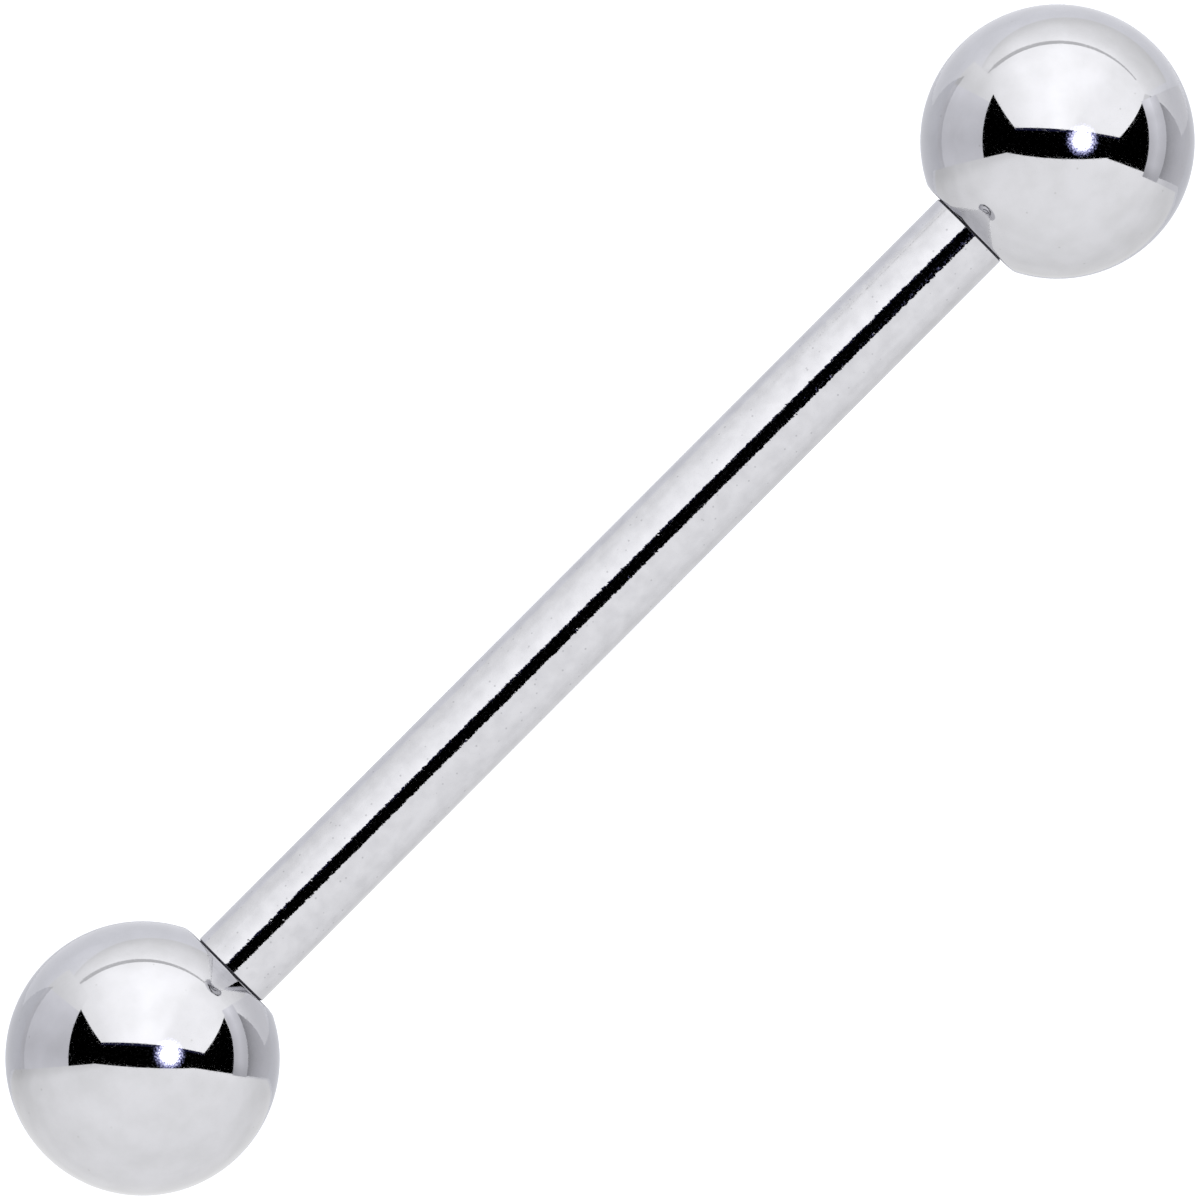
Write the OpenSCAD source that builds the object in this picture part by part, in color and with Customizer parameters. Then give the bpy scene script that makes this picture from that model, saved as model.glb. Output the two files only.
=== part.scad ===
// Straight barbell for a tongue piercing: a polished steel bar with a threaded
// post at each end, and a ball screwed down on each post.
// It lies along X on the surface z = 0, on its two balls. All sizes in millimetres.

/* [Bar] */
// Diameter of the plain bar, 14 gauge
bar_d = 1.6; // [1.2:0.1:2.4]
// Length of the plain bar, from shoulder to shoulder
bar_length = 19; // [10:0.5:38]
// Width of the bevel round each shoulder's edge
shoulder_bevel = 0.04; // [0.02:0.01:0.08]

/* [Threaded posts] */
// Step from the bar in to the thread's outside
shoulder_step = 0.2; // [0.16:0.02:0.24]
// Length of each post beyond its shoulder
post_length = 2.6; // [2:0.1:3]
// Distance from one turn of the thread to the next
thread_pitch = 0.25; // [0.2:0.05:0.35]
// Plain neck between the shoulder and the first turn
neck_length = 0.3; // [0.2:0.05:0.5]
// Width of the bevel round the post's tip
tip_bevel = 0.1; // [0.05:0.01:0.15]

/* [Balls] */
// Diameter of each ball
ball_d = 5; // [4.5:0.5:8]
// Width of the flat seat that shows round the bar
seat_rim = 0.3; // [0.1:0.05:0.6]
// Radius of the soft edge where the seat meets the ball
seat_edge_r = 0.25; // [0.1:0.05:0.4]
// Width of the countersink round the hole's mouth
countersink = 0.08; // [0.04:0.01:0.1]

/* [Fits] */
// Gap between a shoulder and its ball's seat
seat_gap = 0.03; // [0.01:0.01:0.1]
// Radial gap between the thread's crests and the ball's hole
thread_gap = 0.02; // [0.01:0.01:0.05]
// Gap between a post's tip and the floor of its hole
tip_gap = 0.2; // [0.1:0.05:0.3]

/* [Hidden] */
$fn = 96;

// Steel as it looks once mirror polished
polished_steel = [0.80, 0.81, 0.83];

// The thread has the ISO metric form
thread_depth = 0.54 * thread_pitch;
crest_flat = thread_pitch / 8;
flank_angle = 30;
thread_d = bar_d - 2 * shoulder_step;
root_r = thread_d / 2 - thread_depth;
// Steps round one turn of the thread, and the share of a turn over which it fades out
steps_per_turn = 20;
fade_turns = 0.5;
// How far the ridge and the post sink into what carries them
ridge_root = 0.05;
post_root = 0.1;
// What is left of the ridge's height at its faded ends
least_ridge = 0.02;

// The seat is where the ball's surface would be as wide as the seat
ball_r = ball_d / 2;
seat_r = bar_d / 2 + seat_rim;
seat_plane = sqrt(pow(ball_r, 2) - pow(seat_r, 2));
hole_r = thread_d / 2 + thread_gap;
hole_depth = post_length + tip_gap;
// A twist drill leaves a cone of 118 degrees on the hole's floor
drill_cone = hole_r / tan(59);
// Cuts run past the surface that they open
cut_past = 0.1;

// The ball's centre, from the middle of the bar
ball_x = bar_length / 2 + seat_gap + seat_plane;

// Lays a shape that was made along +Z down along +X, at the bar's height. Its +X side
// turns up and to the back, so that no seam of a ball is where it stands
module lay_along_x() {
  translate([0, 0, ball_r]) rotate([0, 90, 0]) rotate([0, 0, 135]) children();
}

// A plain round bar with both edges bevelled, centred on the origin, along Z
module bevelled_bar(d, length, bevel) {
  r = d / 2;
  end = length / 2;
  rotate_extrude()
    polygon([
      [0, -end], [r - bevel, -end], [r, -end + bevel],
      [r, end - bevel], [r - bevel, end], [0, end]
    ]);
}

// The four corners of the thread's ridge at one step along its helix
function ridge_section(step, steps) =
  let (
    turn = step / steps_per_turn,
    turns = steps / steps_per_turn,
    fade = min(1, turn / fade_turns, (turns - turn) / fade_turns),
    height = least_ridge + (thread_depth - least_ridge) * fade,
    half_crest = crest_flat / 2 + (thread_depth - height) * tan(flank_angle),
    half_base = half_crest + (height + ridge_root) * tan(flank_angle),
    angle = 360 * turn,
    along = thread_pitch * turn,
    base_r = root_r - ridge_root,
    corners = [
      [base_r, -half_base], [root_r + height, -half_crest],
      [root_r + height, half_crest], [base_r, half_base]
    ]
  )
  [for (c = corners) [c[0] * cos(angle), c[0] * sin(angle), along + c[1]]];

// A right-hand helical ridge of the given length along Z, from z = 0
module thread_ridge(length) {
  steps = floor(steps_per_turn * length / thread_pitch);
  last = 4 * steps;
  sides = [
    for (s = [0:steps - 1]) for (k = [0:3])
      [4 * s + k, 4 * s + (k + 1) % 4, 4 * s + 4 + (k + 1) % 4, 4 * s + 4 + k]
  ];
  polyhedron(
    points = [for (s = [0:steps]) each ridge_section(s, steps)],
    faces = concat([[3, 2, 1, 0]], sides, [[last, last + 1, last + 2, last + 3]]),
    convexity = 10
  );
}

// One threaded post, standing on z = 0, with its root sunk below
module threaded_post() {
  half_ridge = crest_flat / 2 + thread_depth * tan(flank_angle);
  first_turn = neck_length + half_ridge;
  last_turn = post_length - tip_bevel - half_ridge;
  translate([0, 0, -post_root])
    cylinder(r = root_r, h = post_root + post_length - tip_bevel);
  translate([0, 0, post_length - tip_bevel])
    cylinder(r1 = root_r, r2 = root_r - tip_bevel, h = tip_bevel);
  translate([0, 0, first_turn]) thread_ridge(last_turn - first_turn);
}

// The bar and its posts are turned from one rod; both threads are right-handed
module bar() {
  color(polished_steel) lay_along_x() {
    bevelled_bar(bar_d, bar_length, shoulder_bevel);
    for (turned = [0, 180])
      rotate([turned, 0, 0]) translate([0, 0, bar_length / 2]) threaded_post();
  }
}

// Half the ball's outline: a circle cut by the seat, with a soft edge between them
module ball_outline() {
  edge_y = -seat_plane + seat_edge_r;
  edge_x = sqrt(pow(ball_r - seat_edge_r, 2) - pow(edge_y, 2));
  reach = ball_r / (ball_r - seat_edge_r);
  difference() {
    circle(r = ball_r);
    translate([-ball_d, -seat_plane - ball_d]) square([2 * ball_d, ball_d]);
    translate([-ball_d, -ball_d]) square([ball_d, 2 * ball_d]);
    difference() {
      polygon([
        [edge_x, edge_y], [edge_x, -ball_r],
        [edge_x * reach, -ball_r], [edge_x * reach, edge_y * reach]
      ]);
      translate([edge_x, edge_y]) circle(r = seat_edge_r);
    }
  }
}

// A ball centred on the origin, with its seat and its drilled hole facing -Z
module ball() {
  difference() {
    rotate_extrude() ball_outline();
    translate([0, 0, -seat_plane - cut_past])
      cylinder(r = hole_r, h = cut_past + hole_depth);
    translate([0, 0, -seat_plane + hole_depth])
      cylinder(r1 = hole_r, r2 = 0, h = drill_cone);
    translate([0, 0, -seat_plane - cut_past])
      cylinder(
        r1 = hole_r + countersink + cut_past, r2 = hole_r,
        h = countersink + cut_past
      );
  }
}

module top_ball() {
  color(polished_steel) lay_along_x() translate([0, 0, ball_x]) ball();
}

module bottom_ball() {
  color(polished_steel) lay_along_x()
    rotate([180, 0, 0]) translate([0, 0, ball_x]) ball();
}

bar();
top_ball();
bottom_ball();
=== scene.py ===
"""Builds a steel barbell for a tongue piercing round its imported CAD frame: the bar with
its threaded posts, the two balls screwed on them, and the white studio they mirror."""

import math

import bmesh
import bpy
from mathutils import Matrix, Vector


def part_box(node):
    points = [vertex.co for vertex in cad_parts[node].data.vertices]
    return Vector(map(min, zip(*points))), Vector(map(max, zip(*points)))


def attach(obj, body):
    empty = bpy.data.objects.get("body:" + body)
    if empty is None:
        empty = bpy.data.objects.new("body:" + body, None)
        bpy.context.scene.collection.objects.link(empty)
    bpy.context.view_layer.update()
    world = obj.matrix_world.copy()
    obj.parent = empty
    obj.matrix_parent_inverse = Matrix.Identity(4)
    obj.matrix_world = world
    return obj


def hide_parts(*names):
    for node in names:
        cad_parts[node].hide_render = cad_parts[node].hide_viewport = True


bl_info = {
    "name": "Tongue barbell",
    "version": (1, 0, 0),
    "blender": (4, 5, 0),
    "location": "3D View > Sidebar > Barbell",
    "description": "Models a threaded steel bar with a ball screwed on each end",
    "category": "Add Mesh",
}

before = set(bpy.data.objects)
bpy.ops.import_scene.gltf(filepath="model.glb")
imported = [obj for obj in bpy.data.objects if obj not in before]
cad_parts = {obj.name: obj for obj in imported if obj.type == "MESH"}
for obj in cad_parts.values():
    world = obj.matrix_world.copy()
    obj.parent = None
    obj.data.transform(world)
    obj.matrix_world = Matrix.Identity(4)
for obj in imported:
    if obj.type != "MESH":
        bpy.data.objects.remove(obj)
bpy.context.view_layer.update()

MM = 0.001

# Places read from the frame, in metres
BAR_LOW, BAR_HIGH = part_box("bar")
BALL_LOW, BALL_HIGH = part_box("top_ball")
# Height of the bar's axis
AXIS_Z = (BALL_LOW.z + BALL_HIGH.z) / 2

# Flats round every turned surface, and steps round one turn of a thread
SIDES = 128
# Rings from one pole of a ball to the other, and steps across its seat's soft edge
BALL_RINGS = 64
SEAT_EDGE_STEPS = 8
# Points nearer to each other than this are one point
WELD = 1e-7
# Edges that turn by more than this stay sharp
SMOOTH_ANGLE = math.radians(30)

# Depth of a metric thread, as a share of its pitch
THREAD_DEPTH = 0.54
# How much wider its groove gets for each step outwards, between flanks 60 degrees apart
FLANK_OPENING = 2 * math.tan(math.radians(30))
# Half the angle of a twist drill's tip
DRILL_HALF_ANGLE = math.radians(59)

# Where each finish stands in a piece's list of materials
OUTSIDE, FACED_AND_SHADED, THREADED = 0, 1, 2

# Sockets of a Mix node that mixes colours: the amount, both colours, and what comes out
MIX_AMOUNT, MIX_FIRST, MIX_SECOND = 0, 6, 7
MIX_COLOUR = 2
# Length over which a wave texture repeats at scale 1
WAVE_PERIOD = 0.314

# The bar's angle in the photograph, from level, up to the right
BAR_ANGLE = math.radians(45.06)
# The studio's own frame: +X to the photograph's right, +Y to its top
STUDIO = Matrix.Rotation(-BAR_ANGLE, 4, "Z")
# Height of the table under the glass sheet that the barbell lies on, in millimetres
TABLE_Z = -100
# Width of the sheet and of the table, in metres, more than any view takes in
FLOOR_WIDTH = 3
# Width and height of the dark room above the studio, in metres
ROOM_WIDTH = 8
ROOM_HEIGHT = 0.45
# Cuts across a card, enough to bend it smoothly between corners out of one plane
CARD_CUTS = 15


def linear(hex_colour):
    """An sRGB colour such as "C6C6CA" as linear RGBA."""
    parts = [int(hex_colour[i : i + 2], 16) / 255 for i in (0, 2, 4)]
    return [p / 12.92 if p <= 0.04045 else ((p + 0.055) / 1.055) ** 2.4 for p in parts] + [1.0]


class BarbellSizes(bpy.types.PropertyGroup):
    """Driving sizes of the bar and its balls"""

    bar_diameter: bpy.props.FloatProperty(
        name="Bar diameter",
        description="Diameter of the plain bar, 14 gauge",
        default=BAR_HIGH.z - BAR_LOW.z,
        unit="LENGTH",
        precision=5,
    )
    seat_gap: bpy.props.FloatProperty(
        name="Seat gap",
        description="Gap left between a shoulder and the seat that it is screwed down on",
        default=0.003 * MM,
        unit="LENGTH",
        precision=5,
    )
    shoulder_bevel: bpy.props.FloatProperty(
        name="Shoulder bevel",
        description="Width of the bevel round each shoulder's edge",
        default=0.04 * MM,
        unit="LENGTH",
        precision=5,
    )
    thread_diameter: bpy.props.FloatProperty(
        name="Thread diameter",
        description="Outside diameter of the posts' thread",
        default=1.2 * MM,
        unit="LENGTH",
        precision=5,
    )
    thread_pitch: bpy.props.FloatProperty(
        name="Thread pitch",
        description="Distance from one turn of the thread to the next",
        default=0.25 * MM,
        unit="LENGTH",
        precision=5,
    )
    neck_length: bpy.props.FloatProperty(
        name="Neck length",
        description="Plain neck between the shoulder and the thread",
        default=0.3 * MM,
        unit="LENGTH",
        precision=5,
    )
    ball_diameter: bpy.props.FloatProperty(
        name="Ball diameter",
        description="Diameter of each ball",
        default=BALL_HIGH.z - BALL_LOW.z,
        unit="LENGTH",
        precision=5,
    )
    seat_edge: bpy.props.FloatProperty(
        name="Seat edge",
        description="Radius of the soft edge where a ball's seat meets its round",
        default=0.25 * MM,
        unit="LENGTH",
        precision=5,
    )
    countersink: bpy.props.FloatProperty(
        name="Countersink",
        description="Diameter of the countersink round the hole's mouth",
        default=1.4 * MM,
        unit="LENGTH",
        precision=5,
    )
    hole_depth: bpy.props.FloatProperty(
        name="Hole depth",
        description="Depth of the tapped hole from the seat to the drill's cone",
        default=2.8 * MM,
        unit="LENGTH",
        precision=5,
    )


class BarbellColours(bpy.types.PropertyGroup):
    """Colour of the steel"""

    steel: bpy.props.FloatVectorProperty(
        name="Steel",
        description="Colour that the polished steel gives to what it mirrors",
        subtype="COLOR",
        size=4,
        min=0,
        max=1,
        default=linear("C6C6CA"),
    )


# Small helpers


def add_node(tree, kind, inputs=None, **settings):
    """Adds a node with its settings. An input takes a value, or another node's output."""
    node = tree.nodes.new(kind)
    for name, value in settings.items():
        setattr(node, name, value)
    for socket, value in (inputs or {}).items():
        if isinstance(value, bpy.types.NodeSocket):
            tree.links.new(value, node.inputs[socket])
        else:
            node.inputs[socket].default_value = value
    return node


def take(obj):
    """Makes obj the one selected object, in object mode."""
    if bpy.context.object and bpy.context.object.mode != "OBJECT":
        bpy.ops.object.mode_set(mode="OBJECT")
    bpy.ops.object.select_all(action="DESELECT")
    obj.select_set(True)
    bpy.context.view_layer.objects.active = obj


def added(name):
    """The object that was just added, named along with its data."""
    obj = bpy.context.object
    obj.name = obj.data.name = name
    return obj


def start(name):
    """Names the primitive that was just added, and opens it in edit mode."""
    obj = added(name)
    take(obj)
    bpy.ops.object.transform_apply(location=True, rotation=True, scale=True)
    bpy.ops.object.mode_set(mode="EDIT")
    return obj


def pick(obj, kind, test):
    """Selects, in edit mode, just the vertices, edges or faces that pass a test."""
    bpy.ops.mesh.select_mode(type=kind)
    bpy.ops.mesh.select_all(action="DESELECT")
    mesh = bmesh.from_edit_mesh(obj.data)
    parts = {"VERT": mesh.verts, "EDGE": mesh.edges, "FACE": mesh.faces}[kind]
    found = [part for part in parts if test(part)]
    if not found:
        raise RuntimeError(f"nothing to pick on {obj.name}")
    for part in found:
        part.select_set(True)
    bmesh.update_edit_mesh(obj.data)


def close_up():
    """Turns all faces outwards, and leaves edit mode."""
    bpy.ops.mesh.select_all(action="SELECT")
    bpy.ops.mesh.normals_make_consistent(inside=False)
    bpy.ops.object.mode_set(mode="OBJECT")


def turn_profile(x, radius, profile):
    """Extrudes the picked ring or cap, at x and radius, through a profile of (x, radius)."""
    for next_x, next_radius in profile:
        bpy.ops.mesh.extrude_region_move(TRANSFORM_OT_translate={"value": (next_x - x, 0, 0)})
        scale = next_radius / radius
        bpy.ops.transform.resize(value=(1, scale, scale), center_override=(next_x, 0, 0))
        x, radius = next_x, next_radius


def thread_tool(name, x, turns, pitch, inner, outer):
    """A closed right-hand helix round the X axis, from x on, whose section is given as
    (radius, width) at its inner and outer sides."""
    inner_r, inner_width = inner
    outer_r, outer_width = outer
    middle = (inner_r + outer_r) / 2
    bpy.ops.object.mode_set(mode="OBJECT")
    bpy.ops.object.select_all(action="DESELECT")
    bpy.ops.mesh.primitive_plane_add(size=1, location=(x, middle, 0))
    bpy.context.object.scale = (inner_width, outer_r - inner_r, 1)
    tool = start(name)
    pick(tool, "VERT", lambda vert: vert.co.y > middle)
    widening = outer_width / inner_width
    bpy.ops.transform.resize(value=(widening, 1, 1), center_override=(x, outer_r, 0))
    # Turned half a step, so that none of its edges meets an edge of what it cuts
    bpy.ops.mesh.select_all(action="SELECT")
    bpy.ops.transform.rotate(value=math.pi / SIDES, orient_axis="X", center_override=(0, 0, 0))
    bpy.ops.object.mode_set(mode="OBJECT")
    screw = tool.modifiers.new("Thread", "SCREW")
    screw.axis = "X"
    screw.angle = 2 * math.pi
    screw.screw_offset = pitch
    screw.iterations = turns
    screw.steps = screw.render_steps = SIDES
    bpy.ops.object.modifier_apply(modifier=screw.name)
    bpy.ops.object.mode_set(mode="EDIT")
    bpy.ops.mesh.select_all(action="SELECT")
    bpy.ops.mesh.fill_holes(sides=4)
    close_up()
    return tool


def cut_away(obj, tool):
    """Cuts the tool's shape out of obj, and puts the tool away."""
    take(obj)
    boolean = obj.modifiers.new("Cut", "BOOLEAN")
    boolean.operation = "DIFFERENCE"
    boolean.solver = "EXACT"
    boolean.object = tool
    bpy.ops.object.modifier_apply(modifier=boolean.name)
    bpy.data.objects.remove(tool)


def thread_places(sizes):
    """Where, along the bar, a shoulder stands, its neck ends and its thread's groove starts."""
    shoulder = BALL_LOW.x - sizes.seat_gap
    neck_end = shoulder + sizes.neck_length
    # Over the neck, so that the groove is at its full depth from the thread's first turn
    groove_start = neck_end - 0.7 * sizes.thread_pitch
    return shoulder, neck_end, groove_start


def finish_piece(obj, materials, body):
    """Lifts a piece to the bar's height, smooths it, and hands it to the frame."""
    take(obj)
    obj.location.z = AXIS_Z
    bpy.ops.object.transform_apply(location=True, rotation=True, scale=True)
    bpy.ops.object.shade_smooth_by_angle(angle=SMOOTH_ANGLE)
    for material in materials:
        obj.data.materials.append(material)
    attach(obj, body)
    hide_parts(body)


# Steel finishes


def new_steel(name):
    """A bare steel to finish: its material, nodes and shader, and places on the piece."""
    material = bpy.data.materials.new(name)
    material.use_nodes = True
    tree = material.node_tree
    shader = tree.nodes["Principled BSDF"]
    shader.inputs["Metallic"].default_value = 1
    place = add_node(tree, "ShaderNodeTexCoord").outputs["Object"]
    return material, tree, shader, place


def lumps(tree, place, width, detail, levels, values):
    """Soft lumps about this wide: noise, carried from a pair of its levels to a pair of
    values, and held between them."""
    noise = add_node(
        tree, "ShaderNodeTexNoise", {"Vector": place, "Scale": 1 / width, "Detail": detail}
    )
    carried = add_node(
        tree,
        "ShaderNodeMapRange",
        {
            "Value": noise.outputs["Fac"],
            "From Min": levels[0],
            "From Max": levels[1],
            "To Min": values[0],
            "To Max": values[1],
        },
    )
    return carried.outputs["Result"]


def pits(tree, place, apart, radius):
    """1 in small round pits that are about this far apart, and 0 between them."""
    cells = add_node(tree, "ShaderNodeTexVoronoi", {"Vector": place, "Scale": 1 / apart})
    edge = radius / apart
    inside = add_node(
        tree,
        "ShaderNodeMapRange",
        {
            "Value": cells.outputs["Distance"],
            "From Min": 0.5 * edge,
            "From Max": edge,
            "To Min": 1,
            "To Max": 0,
        },
    )
    return inside.outputs["Result"]


def finish_steel(tree, shader, marks, hex_colour, rough, height=None, depth=0):
    """Gives a steel its marks of another colour, its roughness, and a relief this deep in
    metres. The marks and the relief's height go from 0 to 1."""
    steel = list(bpy.context.scene.barbell_colours.steel)
    mix = add_node(
        tree,
        "ShaderNodeMix",
        {MIX_AMOUNT: marks, MIX_FIRST: steel, MIX_SECOND: linear(hex_colour)},
        data_type="RGBA",
    )
    tree.links.new(mix.outputs[MIX_COLOUR], shader.inputs["Base Color"])
    tree.links.new(rough, shader.inputs["Roughness"])
    if height is not None:
        bump = add_node(
            tree, "ShaderNodeBump", {"Height": height, "Strength": 1, "Distance": depth}
        )
        tree.links.new(bump.outputs["Normal"], shader.inputs["Normal"])


def mirror_polished_ball_steel():
    """316L steel ball, tumbled and buffed: a sharp, slightly cool mirror. Its finest grain is
    too small to blur the white cards, and only spreads the lamp into a sparkling patch."""
    material, tree, shader, place = new_steel("Mirror polished 316L steel")
    rough = lumps(tree, place, 0.04 * MM, 0, (0.5, 0.7), (0.025, 0.08))
    # Faint clouds from the buffing wheel, and a few fine pits, painted darker as the shade in
    # their hollows
    clouds = lumps(tree, place, 0.5 * MM, 3, (0.35, 0.7), (0, 0.35))
    pits_painted_dark = pits(tree, place, 0.42 * MM, 0.028 * MM)
    marks = add_node(tree, "ShaderNodeMath", {0: clouds, 1: pits_painted_dark}, operation="MAXIMUM")
    # B4B4B6 darkens the clouds, the steel's own uneven tone, and the pits, where it is painted
    # shade.
    finish_steel(tree, shader, marks.outputs["Value"], "B4B4B6", rough)
    return material


def buffed_bar_steel():
    """316L rod, buffed on the wheel: a mirror that fine waves and pits break up, so that a
    straight edge shows jagged in it."""
    material, tree, shader, place = new_steel("Buffed 316L rod")
    rough = lumps(tree, place, 0.05 * MM, 0, (0.45, 0.7), (0.03, 0.08))
    clouds = lumps(tree, place, 0.3 * MM, 3, (0.35, 0.7), (0, 0.37))
    pits_painted_dark = pits(tree, place, 0.19 * MM, 0.026 * MM)
    marks = add_node(tree, "ShaderNodeMath", {0: clouds, 1: pits_painted_dark}, operation="MAXIMUM")
    # The pits sink about a third as deep as the waves are high
    waves = add_node(
        tree, "ShaderNodeTexNoise", {"Vector": place, "Scale": 1 / (0.1 * MM), "Detail": 2}
    )
    dents = add_node(tree, "ShaderNodeMath", {0: pits_painted_dark, 1: 0.35}, operation="MULTIPLY")
    height = add_node(
        tree,
        "ShaderNodeMath",
        {0: waves.outputs["Fac"], 1: dents.outputs["Value"]},
        operation="SUBTRACT",
    ).outputs["Value"]
    # AAAAAE darkens the clouds, the rod's own uneven tone, and the pits, where it is painted shade
    # over their dents.
    finish_steel(tree, shader, marks.outputs["Value"], "AAAAAE", rough, height, 0.0017 * MM)
    return material


def faced_and_shaded_steel(name):
    """316L steel as a lathe tool faces it: duller and darker than the polish beside it, with fine
    rings round the bar's axis. Part of its darkness is painted shade: it lies at the joint of bar
    and ball, and darkens that joint as its shadow would."""
    material, tree, shader, place = new_steel(name)
    centred = add_node(tree, "ShaderNodeMapping", {"Vector": place, "Location": (0, 0, -AXIS_Z)})
    # The real feed of about 0.02 mm a turn is too fine to show, so it is drawn twice as coarse
    ring_spacing = 0.04 * MM
    rings = add_node(
        tree,
        "ShaderNodeTexWave",
        {
            "Vector": centred.outputs["Vector"],
            "Scale": WAVE_PERIOD / ring_spacing,
            "Distortion": 0.4,
        },
        wave_type="RINGS",
        rings_direction="X",
    ).outputs["Fac"]
    shades = add_node(tree, "ShaderNodeMapRange", {"Value": rings, "To Min": 0.75})
    rough = lumps(tree, place, 0.1 * MM, 2, (0.3, 0.7), (0.45, 0.55))
    # Painted shade: the dark grey 7E7E84 darkens the bevel, shoulder and seat, standing in for the
    # shadow of their joint.
    finish_steel(tree, shader, shades.outputs["Result"], "7E7E84", rough, rings, 0.001 * MM)
    return material


def cut_thread_steel(name):
    """316L steel as a threading tool leaves it: a satin grey, torn a little on its flanks."""
    material, tree, shader, place = new_steel(name)
    tears = add_node(
        tree, "ShaderNodeTexNoise", {"Vector": place, "Scale": 1 / (0.03 * MM), "Detail": 3}
    ).outputs["Fac"]
    marks = add_node(
        tree, "ShaderNodeMapRange", {"Value": tears, "From Min": 0.35, "From Max": 0.65}
    )
    rough = add_node(
        tree,
        "ShaderNodeMapRange",
        {"Value": tears, "From Min": 0.3, "From Max": 0.7, "To Min": 0.22, "To Max": 0.36},
    ).outputs["Result"]
    finish_steel(tree, shader, marks.outputs["Result"], "9C9CA2", rough, tears, 0.002 * MM)
    return material


def machined_steels():
    """The faced finish, darkened by painted shade, and the threaded finish, in their places in
    each piece's list. They are made once, and shared by the three pieces."""
    makers = {"Faced and shaded 316L steel": faced_and_shaded_steel, "Cut thread 316L steel": cut_thread_steel}
    return [bpy.data.materials.get(name) or make(name) for name, make in makers.items()]


# The pieces


class BARBELL_OT_bar(bpy.types.Operator):
    """Turn the bar and cut a right-hand thread on the post at each end"""

    bl_idname = "barbell.bar"
    bl_label = "Bar"

    def execute(self, context):
        sizes = context.scene.barbell_sizes
        shoulder, neck_end, groove_start = thread_places(sizes)
        tip = BAR_HIGH.x
        bar_r = sizes.bar_diameter / 2
        bevel = sizes.shoulder_bevel
        pitch = sizes.thread_pitch
        depth = THREAD_DEPTH * pitch
        thread_r = sizes.thread_diameter / 2
        # The neck is a hair slimmer than the thread's root, so the cut runs out into it
        neck_r = thread_r - 1.04 * depth
        tip_r = thread_r - 2 * depth

        bpy.ops.mesh.primitive_cylinder_add(
            vertices=SIDES,
            radius=bar_r,
            depth=shoulder,
            location=(shoulder / 2, 0, 0),
            rotation=(0, math.pi / 2, 0),
        )
        bar = start("barbell_bar")
        pick(bar, "EDGE", lambda edge: all(vert.co.x > shoulder - WELD for vert in edge.verts))
        bpy.ops.mesh.bevel(offset=bevel, affect="EDGES")
        pick(bar, "FACE", lambda face: face.calc_center_median().x > shoulder - WELD)
        turn_profile(
            shoulder,
            bar_r - bevel,
            [
                (shoulder, neck_r),
                (neck_end, neck_r),
                (neck_end + thread_r - neck_r, thread_r),
                (tip - thread_r + tip_r, thread_r),
                (tip, tip_r),
            ],
        )
        # A metric groove: its floor is a quarter of the pitch wide, and it leaves a crest an
        # eighth of the pitch wide. The tool stands a little out of it, and runs past the tip
        past = 0.1 * depth
        crest_width = pitch * 7 / 8
        groove = thread_tool(
            "groove_tool",
            groove_start,
            math.ceil((tip - groove_start) / pitch) + 1,
            pitch,
            (thread_r - depth, crest_width - depth * FLANK_OPENING),
            (thread_r + past, crest_width + past * FLANK_OPENING),
        )
        cut_away(bar, groove)

        # The other half is the same half turned end for end
        bpy.ops.object.mode_set(mode="EDIT")
        pick(bar, "FACE", lambda face: face.calc_center_median().x < WELD)
        bpy.ops.mesh.delete(type="FACE")
        bpy.ops.mesh.select_all(action="SELECT")
        bpy.ops.mesh.duplicate()
        bpy.ops.transform.rotate(value=math.pi, orient_axis="Z", center_override=(0, 0, 0))
        pick(bar, "VERT", lambda vert: abs(vert.co.x) < WELD)
        bpy.ops.mesh.remove_doubles(threshold=WELD)
        close_up()

        finish_piece(bar, [buffed_bar_steel(), *machined_steels()], "bar")
        # The bevel and the shoulder are faced, and painted darker as the shade of their joint with
        # the ball; all beyond them is the threaded post
        for face in bar.data.polygons:
            beyond = abs(face.center.x) - shoulder
            if beyond > WELD:
                face.material_index = THREADED
            elif beyond > WELD - bevel:
                face.material_index = FACED_AND_SHADED
            else:
                face.material_index = OUTSIDE
        return {"FINISHED"}


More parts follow.
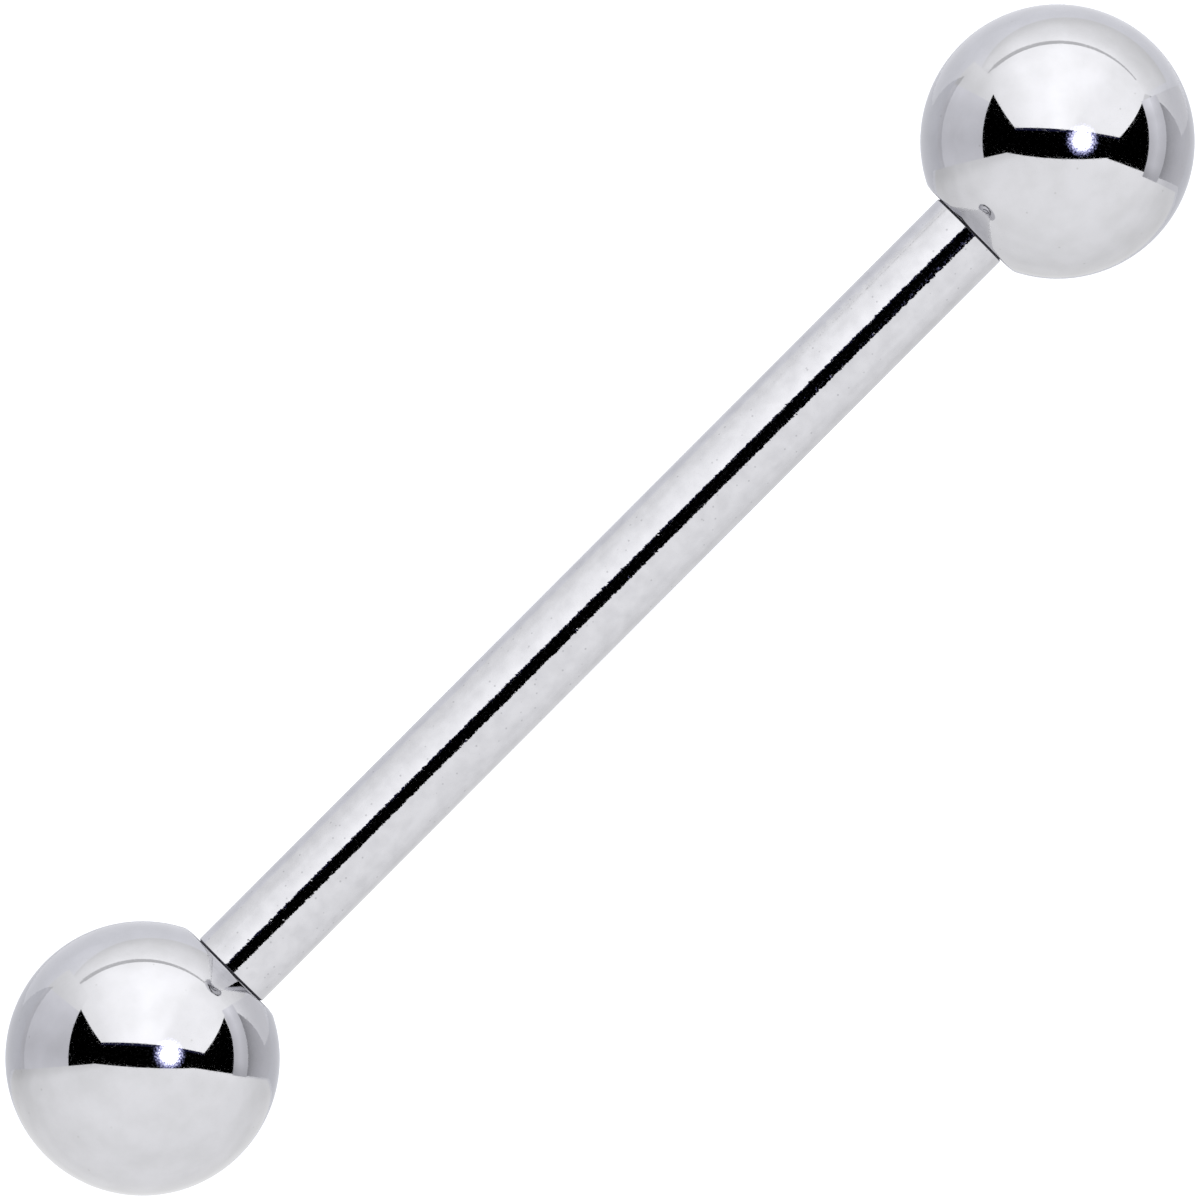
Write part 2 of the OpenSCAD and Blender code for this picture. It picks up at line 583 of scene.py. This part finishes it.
class BARBELL_OT_balls(bpy.types.Operator):
    """Turn a ball with its seat and tapped hole, and copy it for the bar's other end"""

    bl_idname = "barbell.balls"
    bl_label = "Balls"

    def execute(self, context):
        sizes = context.scene.barbell_sizes
        ball_r = sizes.ball_diameter / 2
        ball_x = BALL_HIGH.x - ball_r
        seat_x = BALL_LOW.x
        sink_r = sizes.countersink / 2
        pitch = sizes.thread_pitch
        depth = THREAD_DEPTH * pitch
        # The hole is drilled a little wider than the root of the post's thread, and tapped
        # this much wider than its crests
        clearance = 0.08 * pitch
        drilled_r = sizes.thread_diameter / 2 - 0.85 * depth
        tapped_r = sizes.thread_diameter / 2 + clearance

        bpy.ops.mesh.primitive_uv_sphere_add(
            segments=SIDES,
            ring_count=BALL_RINGS,
            radius=ball_r,
            location=(ball_x, 0, 0),
            rotation=(0, math.pi / 2, 0),
        )
        ball = start("top_barbell_ball")

        # The round is cut off where the seat's soft edge leaves it
        edge_r = sizes.seat_edge
        edge_x = seat_x + edge_r
        edge_off = math.sqrt((ball_r - edge_r) ** 2 - (ball_x - edge_x) ** 2)
        edge_angle = math.atan2(edge_off, ball_x - edge_x)
        round_end = ball_x - ball_r * math.cos(edge_angle)
        bpy.ops.mesh.select_all(action="SELECT")
        bpy.ops.mesh.bisect(
            plane_co=(round_end, 0, 0),
            plane_no=(1, 0, 0),
            clear_inner=True,
            threshold=WELD,
        )
        pick(ball, "EDGE", lambda edge: all(vert.co.x < round_end + WELD for vert in edge.verts))
        angles = [edge_angle * step / SEAT_EDGE_STEPS for step in reversed(range(SEAT_EDGE_STEPS))]
        soft_edge = [
            (edge_x - edge_r * math.cos(angle), edge_off + edge_r * math.sin(angle))
            for angle in angles
        ]
        # The seat, its countersink, the drilled hole and the drill's cone, whose last ring is
        # so small that it is merged to a point
        hole_end = seat_x + sizes.hole_depth
        last_r = drilled_r * 0.001
        cone_end = hole_end + (drilled_r - last_r) / math.tan(DRILL_HALF_ANGLE)
        hole = [
            (seat_x, sink_r),
            (seat_x + sink_r - drilled_r, drilled_r),
            (hole_end, drilled_r),
            (cone_end, last_r),
        ]
        turn_profile(round_end, ball_r * math.sin(edge_angle), soft_edge + hole)
        bpy.ops.mesh.merge(type="CENTER")
        close_up()

        # The tap runs half a pitch out of step with the groove in the post, so that the two
        # threads mesh. It starts outside the ball, and ends just short of the post's tip
        _, _, groove_start = thread_places(sizes)
        tap_start = groove_start - 2.5 * pitch
        tap_width = pitch / 5
        # Its inner side stands inside the drilled hole
        tap_inner = drilled_r - 0.25 * depth
        tap = thread_tool(
            "tap_tool",
            tap_start,
            math.floor((BAR_HIGH.x - tap_start) / pitch),
            pitch,
            (tap_inner, tap_width + (tapped_r - tap_inner) * FLANK_OPENING),
            (tapped_r, tap_width),
        )
        cut_away(ball, tap)

        take(ball)
        bpy.ops.object.duplicate(linked=False)
        other = added("bottom_barbell_ball")
        other.rotation_euler.z = math.pi
        bpy.ops.object.transform_apply(location=True, rotation=True, scale=True)

        finishes = [mirror_polished_ball_steel(), *machined_steels()]
        for piece, body in ((ball, "top_ball"), (other, "bottom_ball")):
            finish_piece(piece, finishes, body)
            # The seat is faced, and painted darker as the shade of its joint with the bar; all
            # that lies within the countersink is the tapped hole
            for face in piece.data.polygons:
                along = abs(face.center.x)
                off_axis = math.hypot(face.center.y, face.center.z - AXIS_Z)
                if along < seat_x + WELD:
                    face.material_index = FACED_AND_SHADED
                elif off_axis < sink_r + WELD and along < ball_x + ball_r / 2:
                    face.material_index = THREADED
                else:
                    face.material_index = OUTSIDE
        return {"FINISHED"}


# The studio


def card(name, corners):
    """A card of the studio between its left foot, right foot, right top and left top, in
    millimetres of the studio's frame. It lights and is mirrored, and doesn't show itself."""
    bpy.ops.object.select_all(action="DESELECT")
    bpy.ops.mesh.primitive_plane_add(size=1)
    obj = start(name)
    bpy.ops.mesh.subdivide(number_cuts=CARD_CUTS)
    bpy.ops.object.mode_set(mode="OBJECT")
    left_foot, right_foot, right_top, left_top = (Vector(corner) * MM for corner in corners)
    for vert in obj.data.vertices:
        # The plane reaches half its size from its middle
        across, up = vert.co.x + 0.5, vert.co.y + 0.5
        foot = left_foot.lerp(right_foot, across)
        top = left_top.lerp(right_top, across)
        vert.co = foot.lerp(top, up)
    obj.matrix_world = STUDIO
    obj.visible_camera = obj.visible_shadow = False
    return obj


def wall(name, left, right, low, high):
    """An upright card between two places on the table, from one height to another."""
    return card(name, [(*left, low), (*right, low), (*right, high), (*left, high)])


def new_light(name):
    """An empty material for a studio surface, with its nodes."""
    material = bpy.data.materials.new(name)
    material.use_nodes = True
    material.node_tree.nodes.clear()
    return material, material.node_tree


def glow(obj, strength, hex_colour="FFFFFF", **shares):
    """Lets a studio surface shine. Its light is the strength, times shares that are given at
    places along its x, y or z in millimetres, or along its width u from 0 to 1."""
    material, tree = new_light(obj.name)
    coordinates = add_node(tree, "ShaderNodeTexCoord").outputs
    level = strength
    for side, stops in shares.items():
        if side == "u":
            source, axis, unit = "UV", "X", 1
        else:
            source, axis, unit = "Object", side.upper(), MM
        along = add_node(tree, "ShaderNodeSeparateXYZ", {"Vector": coordinates[source]})
        first, last = stops[0][0], stops[-1][0]
        place = add_node(
            tree,
            "ShaderNodeMapRange",
            {"Value": along.outputs[axis], "From Min": first * unit, "From Max": last * unit},
        )
        ramp = add_node(tree, "ShaderNodeValToRGB", {"Fac": place.outputs["Result"]})
        ramp.color_ramp.interpolation = "EASE"
        elements = ramp.color_ramp.elements
        elements.remove(elements[1])
        for count, (position, share) in enumerate(stops):
            position = (position - first) / (last - first)
            element = elements.new(position) if count else elements[0]
            element.color = (share, share, share, 1)
        level = add_node(
            tree, "ShaderNodeMath", {0: level, 1: ramp.outputs["Color"]}, operation="MULTIPLY"
        ).outputs["Value"]
    shine = add_node(tree, "ShaderNodeEmission", {"Color": linear(hex_colour), "Strength": level})
    add_node(tree, "ShaderNodeOutputMaterial", {"Surface": shine.outputs["Emission"]})
    obj.data.materials.append(material)


def glass_sheet():
    """The clear sheet that the barbell lies on. Both its faces mirror, more so at a slant, and
    the steel shows that. The sheet itself doesn't show, so the floor stays plain."""
    bpy.ops.object.select_all(action="DESELECT")
    bpy.ops.mesh.primitive_plane_add(size=FLOOR_WIDTH)
    sheet = added("glass_sheet")
    sheet.visible_camera = sheet.visible_shadow = False
    material, tree = new_light("Clear float glass")
    # Where one face mirrors a share s, both together mirror 2 s / (1 + s)
    one_face = add_node(tree, "ShaderNodeFresnel", {"IOR": 1.5}).outputs["Fac"]
    twice = add_node(tree, "ShaderNodeMath", {0: one_face, 1: 2}, operation="MULTIPLY")
    whole = add_node(tree, "ShaderNodeMath", {0: one_face, 1: 1}, operation="ADD")
    both_faces = add_node(
        tree,
        "ShaderNodeMath",
        {0: twice.outputs["Value"], 1: whole.outputs["Value"]},
        operation="DIVIDE",
    )
    clear = add_node(tree, "ShaderNodeBsdfTransparent")
    mirror = add_node(tree, "ShaderNodeBsdfGlossy", {"Color": linear("FFFFFF"), "Roughness": 0})
    mix = add_node(
        tree,
        "ShaderNodeMixShader",
        {0: both_faces.outputs["Value"], 1: clear.outputs["BSDF"], 2: mirror.outputs["BSDF"]},
    )
    add_node(tree, "ShaderNodeOutputMaterial", {"Surface": mix.outputs["Shader"]})
    sheet.data.materials.append(material)


def lit_table():
    """The white table under the sheet. The steel mirrors it brighter towards the big card, and
    seen directly it is the photograph's clean white all over."""
    bpy.ops.object.select_all(action="DESELECT")
    bpy.ops.mesh.primitive_plane_add(size=FLOOR_WIDTH)
    table = added("lit_table")
    table.matrix_world = STUDIO @ Matrix.Translation((0, 0, TABLE_Z * MM))
    material, tree = new_light("White table")
    place = add_node(tree, "ShaderNodeTexCoord").outputs["Object"]
    # Painted light: the glow rises towards the big card, as if that card lit the table.
    back = add_node(tree, "ShaderNodeSeparateXYZ", {"Vector": place}).outputs["Y"]
    mirrored = add_node(
        tree,
        "ShaderNodeMapRange",
        {"Value": back, "From Min": 0, "From Max": 150 * MM, "To Min": 0.85, "To Max": 1.02},
    )
    seen = add_node(tree, "ShaderNodeLightPath").outputs["Is Camera Ray"]
    level = add_node(
        tree,
        "ShaderNodeMapRange",
        {"Value": seen, "To Min": mirrored.outputs["Result"], "To Max": 1.3},
    )
    shine = add_node(
        tree,
        "ShaderNodeEmission",
        {"Color": linear("F8F9FF"), "Strength": level.outputs["Result"]},
    )
    add_node(tree, "ShaderNodeOutputMaterial", {"Surface": shine.outputs["Emission"]})
    table.data.materials.append(material)


def key_card():
    """The big card behind the barbell. It leans over it, and is brightest in its middle."""
    foot_left, foot_right = (-431, 421), (124, 72)
    top_left, top_right = (-216, 76.5, 300), (412, 31, 308)
    glow(
        card("key_card", [(*foot_left, 0), (*foot_right, 0), top_right, top_left]),
        1.76,
        x=((-400, 0.69), (-216, 0.79), (-46, 0.93), (10, 1), (60, 0.96), (98, 0.87), (412, 0.87)),
        z=((0, 0.93), (60, 1)),
    )
    glow(
        wall("key_card_foot", foot_left, foot_right, TABLE_Z, 0),
        1.08,
        z=((TABLE_Z, 0.8), (-40, 0.95), (0, 1)),
        u=((0, 0.9), (0.8, 1), (1, 0.93)),
    )
    # A dimmer strip at its foot stands on the sheet as a thin dark line, thinner to the right: a
    # painted shadow where the card meets the sheet
    shadow_left, shadow_right = (-431, 420), (100, 80)
    painted_foot_shadow = card(
        "key_card_painted_foot_shadow",
        [(*shadow_left, 0), (*shadow_right, 0), (*shadow_right, 1.2), (*shadow_left, 20)],
    )
    # Painted shadow: the strip glows at 0.8, dimmer than the card.
    glow(painted_foot_shadow, 0.8)
    # A strip of deep blue velvet along its near edge
    near_left, near_right = (-214, 64, 300), (410, 19, 308)
    glow(card("velvet_strip", [top_left, top_right, near_right, near_left]), 1, "1E1F3C")


def front_card():
    """The small upright card in front of the barbell, dimmer to the left and under the sheet."""
    glow(
        wall("front_card", (-107.4, -17.9), (113.6, -29.2), TABLE_Z, 122.5),
        1.28,
        x=((-107, 0.78), (-92, 0.8), (-54, 0.93), (-15, 1), (30, 1), (100, 1.03)),
        z=((TABLE_Z, 0.7), (-60, 0.71), (-25, 0.77), (-10, 0.84), (0, 0.92), (15, 0.98), (40, 1)),
    )


def tent_walls():
    """The tent's walls at the two sides, dimmer where the cards don't light them."""
    cool_white = "FAFAFF"
    left_near, left_fold, left_far = (-160, -45), (-160, 105), (-160, 173)
    left_top = 76
    glow(
        wall("left_wall", left_fold, left_near, TABLE_Z, left_top),
        1.12,
        cool_white,
        y=((-45, 0.86), (-30, 0.84), (8, 0.77), (53, 0.85), (105, 0.98)),
        z=((TABLE_Z, 0.95), (0, 1), (left_top, 0.98)),
    )
    glow(
        wall("left_wall_far_end", left_far, left_fold, TABLE_Z, left_top),
        1.12,
        y=((105, 0.98), (173, 1.12)),
        z=((TABLE_Z, 0.83), (-30, 0.87), (0, 1), (left_top, 1.09)),
    )
    # The right wall is low, and lower at its far end
    right_near, right_far = (95, -27.5), (62, 34)
    glow(
        card(
            "right_wall",
            [(*right_near, 0), (*right_far, 0), (*right_far, 10.5), (*right_near, 15.5)],
        ),
        1.33,
        cool_white,
        y=((-27.5, 0.5), (-8, 0.7), (8, 0.73), (22, 0.79), (34, 1)),
        z=((0, 1), (14, 0.85)),
    )
    glow(wall("right_wall_foot", right_near, right_far, TABLE_Z, 0), 0.82, cool_white)


def hammered_lamp():
    """A lamp in a hammered reflector: even in its middle, and cool sparks of light round it."""
    # Radii of the reflector, of its even middle, and of where its light has died away
    rim, even, dark = 67 * MM, 22 * MM, 66 * MM
    brightest = 5
    bpy.ops.object.select_all(action="DESELECT")
    bpy.ops.mesh.primitive_circle_add(vertices=48, radius=rim, fill_type="NGON")
    lamp = added("lamp")
    lamp.location = STUDIO @ (Vector((99, 11, 252)) * MM)
    # Square to the line from the barbell
    lamp.rotation_euler = lamp.location.to_track_quat("Z", "Y").to_euler()
    lamp.visible_camera = lamp.visible_diffuse = lamp.visible_shadow = False
    material, tree = new_light("Hammered lamp")
    place = add_node(tree, "ShaderNodeTexCoord").outputs["Object"]
    away = add_node(tree, "ShaderNodeVectorMath", {0: place}, operation="LENGTH").outputs["Value"]
    # Dents throw the middle's light up to this much further out or in
    throw = 11 * MM
    dents = lumps(tree, place, 7 * MM, 2, (0.35, 0.65), (-throw, throw))
    thrown = add_node(tree, "ShaderNodeMath", {0: away, 1: dents}, operation="ADD")
    share = add_node(
        tree,
        "ShaderNodeMapRange",
        {
            "Value": thrown.outputs["Value"],
            "From Min": even,
            "From Max": dark,
            "To Min": 1,
            "To Max": 0,
        },
    ).outputs["Result"]
    steep = add_node(tree, "ShaderNodeMath", {0: share, 1: 1.8}, operation="POWER")
    # The glass sheet doesn't mirror the lamp a second time
    bounces = add_node(tree, "ShaderNodeLightPath").outputs["Glossy Depth"]
    direct = add_node(tree, "ShaderNodeMath", {0: bounces, 1: 1.5}, operation="LESS_THAN")
    allowed = add_node(
        tree,
        "ShaderNodeMath",
        {0: direct.outputs["Value"], 1: brightest},
        operation="MULTIPLY",
    )
    strength = add_node(
        tree,
        "ShaderNodeMath",
        {0: steep.outputs["Value"], 1: allowed.outputs["Value"]},
        operation="MULTIPLY",
    )
    colour = add_node(
        tree,
        "ShaderNodeMix",
        {MIX_AMOUNT: share, MIX_FIRST: linear("9EA2FF"), MIX_SECOND: linear("FFFFFF")},
        data_type="RGBA",
    )
    shine = add_node(
        tree,
        "ShaderNodeEmission",
        {"Color": colour.outputs[MIX_COLOUR], "Strength": strength.outputs["Value"]},
    )
    # Laid over what stands behind it
    clear = add_node(tree, "ShaderNodeBsdfTransparent")
    both = add_node(
        tree,
        "ShaderNodeAddShader",
        {0: shine.outputs["Emission"], 1: clear.outputs["BSDF"]},
    )
    add_node(tree, "ShaderNodeOutputMaterial", {"Surface": both.outputs["Shader"]})
    lamp.data.materials.append(material)


def dark_ceiling():
    """The unlit room over the studio, which the steel mirrors as black between the cards."""
    bpy.ops.object.select_all(action="DESELECT")
    bpy.ops.mesh.primitive_plane_add(size=ROOM_WIDTH, location=(0, 0, ROOM_HEIGHT))
    ceiling = added("dark_ceiling")
    ceiling.visible_camera = ceiling.visible_diffuse = ceiling.visible_shadow = False
    glow(ceiling, 0)


def white_surroundings():
    """A world of even white light, which the steel mirrors past the cards' ends."""
    world = bpy.data.worlds.new("White studio")
    world.use_nodes = True
    backdrop = world.node_tree.nodes["Background"]
    backdrop.inputs["Color"].default_value = linear("FFFFFF")
    backdrop.inputs["Strength"].default_value = 1.08
    return world


class BARBELL_OT_studio(bpy.types.Operator):
    """Set up the glass sheet, the white cards and the lamp that the steel mirrors"""

    bl_idname = "barbell.studio"
    bl_label = "Studio"

    def execute(self, context):
        glass_sheet()
        lit_table()
        key_card()
        front_card()
        tent_walls()
        hammered_lamp()
        dark_ceiling()
        context.scene.world = white_surroundings()
        return {"FINISHED"}


class BARBELL_OT_camera(bpy.types.Operator):
    """Place the camera straight above the barbell, as in the photograph"""

    bl_idname = "barbell.camera"
    bl_label = "Camera"

    def execute(self, context):
        # The photograph's width, at the height of the bar's middle
        photo_width = 21.82 * MM
        # So long a lens shows no perspective, as the photograph doesn't
        lens, sensor = 1150, 36
        height = AXIS_Z + photo_width * lens / sensor
        bpy.ops.object.select_all(action="DESELECT")
        bpy.ops.object.camera_add()
        camera = added("camera")
        camera.data.lens = lens
        camera.data.sensor_width = sensor
        camera.data.clip_start = 0.01
        camera.data.clip_end = 10
        camera.matrix_world = Matrix.Translation((0, 0, height)) @ STUDIO
        context.scene.camera = camera
        context.scene.view_settings.view_transform = "Standard"
        return {"FINISHED"}


class BARBELL_PT_panel(bpy.types.Panel):
    """Lists the sizes, the colour and the steps that build the barbell"""

    bl_idname = "BARBELL_PT_panel"
    bl_label = "Tongue barbell"
    bl_space_type = "VIEW_3D"
    bl_region_type = "UI"
    bl_category = "Barbell"

    def draw(self, context):
        column = self.layout.column()
        for name in BarbellSizes.__annotations__:
            column.prop(context.scene.barbell_sizes, name)
        for name in BarbellColours.__annotations__:
            column.prop(context.scene.barbell_colours, name)
        for step in STEPS:
            column.operator(step.bl_idname)


STEPS = (BARBELL_OT_bar, BARBELL_OT_balls, BARBELL_OT_studio, BARBELL_OT_camera)
CLASSES = (BarbellSizes, BarbellColours, *STEPS, BARBELL_PT_panel)


def register():
    for cls in CLASSES:
        bpy.utils.register_class(cls)
    bpy.types.Scene.barbell_sizes = bpy.props.PointerProperty(type=BarbellSizes)
    bpy.types.Scene.barbell_colours = bpy.props.PointerProperty(type=BarbellColours)


def unregister():
    del bpy.types.Scene.barbell_colours
    del bpy.types.Scene.barbell_sizes
    for cls in reversed(CLASSES):
        bpy.utils.unregister_class(cls)


def main():
    """Builds the whole scene."""
    register()
    bpy.ops.barbell.bar()
    bpy.ops.barbell.balls()
    bpy.ops.barbell.studio()
    bpy.ops.barbell.camera()


if __name__ == "__main__":
    main()
